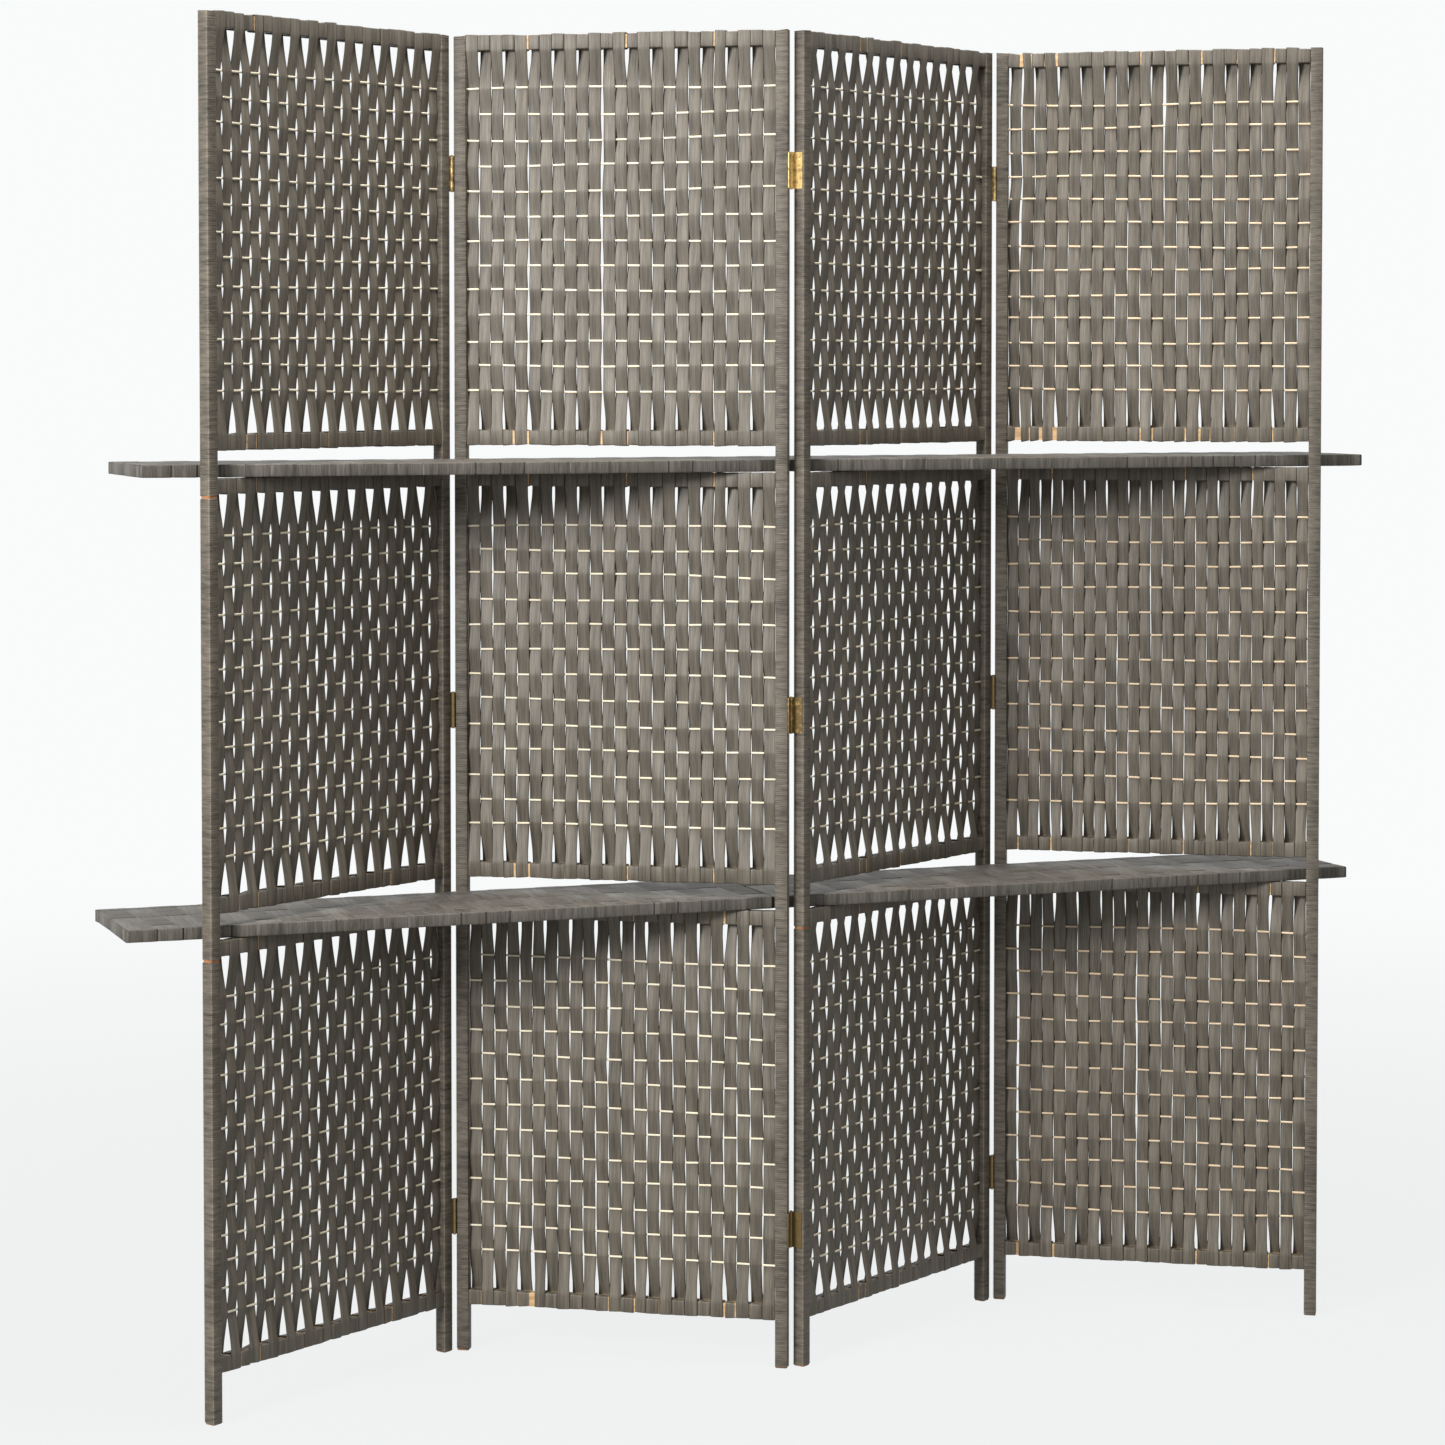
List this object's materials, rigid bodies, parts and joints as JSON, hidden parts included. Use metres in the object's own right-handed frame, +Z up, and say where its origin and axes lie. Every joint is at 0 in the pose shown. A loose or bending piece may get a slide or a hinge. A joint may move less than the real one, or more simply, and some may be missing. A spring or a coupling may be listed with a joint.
{
  "type": "folding screen with shelves",
  "caption": "Zigzag folding screen of hinged panels woven from flat paper strips over thin sticks, with long shelf boards resting through slots between the woven sections.",
  "frame": {"origin": "floor level, midway between the ends of the shelf boards and midway between the front and back folds", "axes": "+X along the screen to its right end seen from the front, +Y from front to back, +Z up"},
  "size_m": [1.7804, 0.2614, 1.8],
  "materials": {
    "wound_paper": "matt twisted paper cord wound tight round the posts",
    "woven_paper": "flat grey-brown paper fibre strips with a low sheen",
    "shelf_paper": "wide flat paper fibre strips, plain weave, low sheen",
    "stick_wood": "bare pale straw-coloured wood",
    "hinge_brass": "aged",
    "board_wood": "bare board",
    "frame_wood": "bare softwood"
  },
  "bodies": {
    "panel_1": {"panel_1_left_post": "frame_wood", "panel_1_right_post": "frame_wood", "panel_1_post_wraps": "wound_paper", "panel_1_sticks": "stick_wood", "panel_1_lower_rails": "frame_wood", "panel_1_lower_weave": "woven_paper", "panel_1_middle_rails": "frame_wood", "panel_1_middle_weave": "woven_paper", "panel_1_upper_rails": "frame_wood", "panel_1_upper_weave": "woven_paper", "hinge_1_left_leaves": "hinge_brass"},
    "panel_2": {"panel_2_left_post": "frame_wood", "panel_2_right_post": "frame_wood", "panel_2_post_wraps": "wound_paper", "panel_2_sticks": "stick_wood", "panel_2_lower_rails": "frame_wood", "panel_2_lower_weave": "woven_paper", "panel_2_middle_rails": "frame_wood", "panel_2_middle_weave": "woven_paper", "panel_2_upper_rails": "frame_wood", "panel_2_upper_weave": "woven_paper", "hinge_1_right_leaves": "hinge_brass", "hinge_1_pins": "hinge_brass", "hinge_2_left_leaves": "hinge_brass", "hinge_2_pins": "hinge_brass"},
    "panel_3": {"panel_3_left_post": "frame_wood", "panel_3_right_post": "frame_wood", "panel_3_post_wraps": "wound_paper", "panel_3_sticks": "stick_wood", "panel_3_lower_rails": "frame_wood", "panel_3_lower_weave": "woven_paper", "panel_3_middle_rails": "frame_wood", "panel_3_middle_weave": "woven_paper", "panel_3_upper_rails": "frame_wood", "panel_3_upper_weave": "woven_paper", "hinge_2_right_leaves": "hinge_brass", "hinge_3_left_leaves": "hinge_brass", "hinge_3_pins": "hinge_brass"},
    "panel_4": {"panel_4_left_post": "frame_wood", "panel_4_right_post": "frame_wood", "panel_4_post_wraps": "wound_paper", "panel_4_sticks": "stick_wood", "panel_4_lower_rails": "frame_wood", "panel_4_lower_weave": "woven_paper", "panel_4_middle_rails": "frame_wood", "panel_4_middle_weave": "woven_paper", "panel_4_upper_rails": "frame_wood", "panel_4_upper_weave": "woven_paper", "hinge_3_right_leaves": "hinge_brass"},
    "lower_left_shelf": {"lower_left_shelf_core": "board_wood", "lower_left_shelf_cover": "shelf_paper"},
    "lower_right_shelf": {"lower_right_shelf_core": "board_wood", "lower_right_shelf_cover": "shelf_paper"},
    "upper_left_shelf": {"upper_left_shelf_core": "board_wood", "upper_left_shelf_cover": "shelf_paper"},
    "upper_right_shelf": {"upper_right_shelf_core": "board_wood", "upper_right_shelf_cover": "shelf_paper"}
  },
  "joints": [
    {"name": "left_fold", "type": "hinge", "parent": "panel_2", "child": "panel_1", "pos_m": [-0.39519, 0.11622, 0], "axis": [0, 0, 1], "range_deg": [0, 115]},
    {"name": "centre_fold", "type": "hinge", "parent": "panel_2", "child": "panel_3", "pos_m": [0.0095, -0.11622, 0], "axis": [0, 0, 1], "range_deg": [0, 115]},
    {"name": "right_fold", "type": "hinge", "parent": "panel_3", "child": "panel_4", "pos_m": [0.41419, 0.11622, 0], "axis": [0, 0, 1], "range_deg": [-115, 0]},
    {"name": "shelf_swing", "type": "hinge", "parent": "panel_2", "child": "lower_left_shelf", "pos_m": [-0.19284, 0, 0], "axis": [0, 0, 1], "range_deg": [0, 57.5]},
    {"name": "upper_left_pull", "type": "slide", "parent": "lower_left_shelf", "child": "upper_left_shelf", "axis": [-1, 0, 0], "range_m": [0, 0.9]},
    {"name": "upper_right_pull", "type": "slide", "parent": "lower_left_shelf", "child": "upper_right_shelf", "axis": [1, 0, 0], "range_m": [0, 0.9]},
    {"name": "lower_right_pull", "type": "slide", "parent": "lower_left_shelf", "child": "lower_right_shelf", "axis": [1, 0, 0], "range_m": [0, 0.9]}
  ],
  "couplings": [
    {"joint": "centre_fold", "follows": "left_fold", "ratio": 1},
    {"joint": "right_fold", "follows": "left_fold", "ratio": -1},
    {"joint": "shelf_swing", "follows": "left_fold", "ratio": 0.5}
  ]
}
